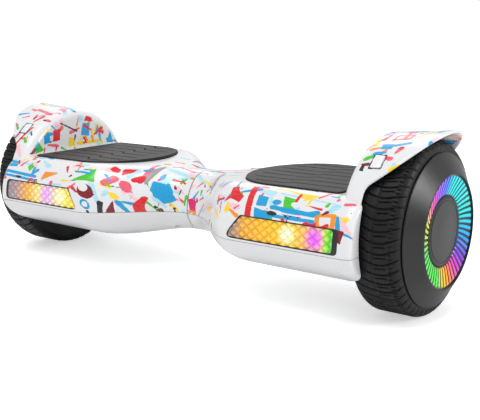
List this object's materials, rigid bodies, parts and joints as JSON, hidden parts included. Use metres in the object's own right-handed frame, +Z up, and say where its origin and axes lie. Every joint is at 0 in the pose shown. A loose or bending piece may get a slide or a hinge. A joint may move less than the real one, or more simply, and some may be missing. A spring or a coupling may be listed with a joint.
{
  "type": "self balancing hoverboard",
  "caption": "Two-wheeled self balancing board: twin tilting foot decks on a waist pivot, hub motor wheels under flared fenders, front light bars.",
  "frame": {"origin": "on the floor, midway between the wheels and below the middle of the depth", "axes": "+X along the axle towards the rider's left wheel, -Y to the front with the light bars, +Z up"},
  "size_m": [0.5836, 0.21, 0.179],
  "materials": {
    "printed_shell": "gloss white with a hand-painted style print",
    "white_shell": "gloss",
    "cast_aluminium": "as cast, machined seats",
    "dark_steel": "black oxide",
    "bright_steel": "ground",
    "motor_core": "laminated, varnished winding",
    "grey_trim": "satin",
    "pad_rubber": "matt, moulded tread",
    "tyre": "moulded tread",
    "circuit_board": "satin solder mask",
    "lamp_lens": "clear diamond-cut lens",
    "marker_lens": "clear gloss",
    "light_ring": "lit translucent bars",
    "black_plastic": "satin",
    "hub_plastic": "satin dark grey",
    "cable_rubber": "matt",
    "cap_rubber": "matt",
    "brass": "satin",
    "battery_wrap": "shrink-wrapped cells",
    "red_button": "gloss"
  },
  "bodies": {
    "right_half": {"right_top_cover": "printed_shell", "right_bottom_cover": "white_shell", "right_chassis": "cast_aluminium", "right_axle_clamp": "cast_aluminium", "right_clamp_screws": "dark_steel", "right_cover_screws": "dark_steel", "right_trim_strips": "grey_trim", "right_gyro_board": "circuit_board", "right_lamp_lens": "lamp_lens", "right_lamp_bezel": "black_plastic", "right_lamp_board": "circuit_board", "right_fender_lamps": "marker_lens", "right_axle": "bright_steel", "right_stator": "motor_core", "right_motor_cable": "cable_rubber", "pivot_tube": "bright_steel", "pivot_circlip": "dark_steel", "battery_pack": "battery_wrap", "battery_strap": "cast_aluminium", "button_switch": "black_plastic", "charge_socket": "black_plastic", "charge_pins": "brass", "trunk_cable": "cable_rubber"},
    "left_half": {"left_top_cover": "printed_shell", "left_bottom_cover": "white_shell", "left_chassis": "cast_aluminium", "left_axle_clamp": "cast_aluminium", "left_clamp_screws": "dark_steel", "left_cover_screws": "dark_steel", "left_trim_strips": "grey_trim", "left_gyro_board": "circuit_board", "left_lamp_lens": "lamp_lens", "left_lamp_bezel": "black_plastic", "left_lamp_board": "circuit_board", "left_fender_lamps": "marker_lens", "left_axle": "bright_steel", "left_stator": "motor_core", "left_motor_cable": "cable_rubber", "pivot_bushings": "brass", "main_board": "circuit_board"},
    "right_wheel": {"right_hub_drum": "cast_aluminium", "right_hub_plate": "cast_aluminium", "right_magnets": "bright_steel", "right_bearings": "bright_steel", "right_tyre": "tyre", "right_hub_cover": "hub_plastic", "right_led_ring": "light_ring", "right_hub_cap": "hub_plastic"},
    "left_wheel": {"left_hub_drum": "cast_aluminium", "left_hub_plate": "cast_aluminium", "left_magnets": "bright_steel", "left_bearings": "bright_steel", "left_tyre": "tyre", "left_hub_cover": "hub_plastic", "left_led_ring": "light_ring", "left_hub_cap": "hub_plastic"},
    "right_pad": {"right_foot_pad": "pad_rubber"},
    "left_pad": {"left_foot_pad": "pad_rubber"},
    "power_button": {"power_button": "red_button"},
    "charge_cap": {"charge_cap": "cap_rubber"}
  },
  "joints": [
    {"name": "waist_twist", "type": "hinge", "parent": "right_half", "child": "left_half", "pos_m": [0, 0, 0.082], "axis": [1, 0, 0], "range_deg": [-12, 12]},
    {"name": "right_wheel_spin", "type": "hinge", "parent": "right_half", "child": "right_wheel", "pos_m": [-0.254, 0, 0.084], "axis": [1, 0, 0], "continuous": true},
    {"name": "left_wheel_spin", "type": "hinge", "parent": "left_half", "child": "left_wheel", "pos_m": [0.254, 0, 0.084], "axis": [1, 0, 0], "continuous": true},
    {"name": "right_pad_press", "type": "slide", "parent": "right_half", "child": "right_pad", "axis": [0, 0, -1], "range_m": [0, 0.0015], "stiffness_N_per_m": 20000, "springref_m": -0.0003},
    {"name": "left_pad_press", "type": "slide", "parent": "left_half", "child": "left_pad", "axis": [0, 0, -1], "range_m": [0, 0.0015], "stiffness_N_per_m": 20000, "springref_m": -0.0003},
    {"name": "power_button_press", "type": "slide", "parent": "right_half", "child": "power_button", "axis": [0, -1, 0], "range_m": [0, 0.0015], "stiffness_N_per_m": 600, "springref_m": -0.0005},
    {"name": "charge_cap_flip", "type": "hinge", "parent": "right_half", "child": "charge_cap", "pos_m": [-0.15, 0.1028, 0.0991], "axis": [1, 0, 0], "range_deg": [0, 110]}
  ]
}
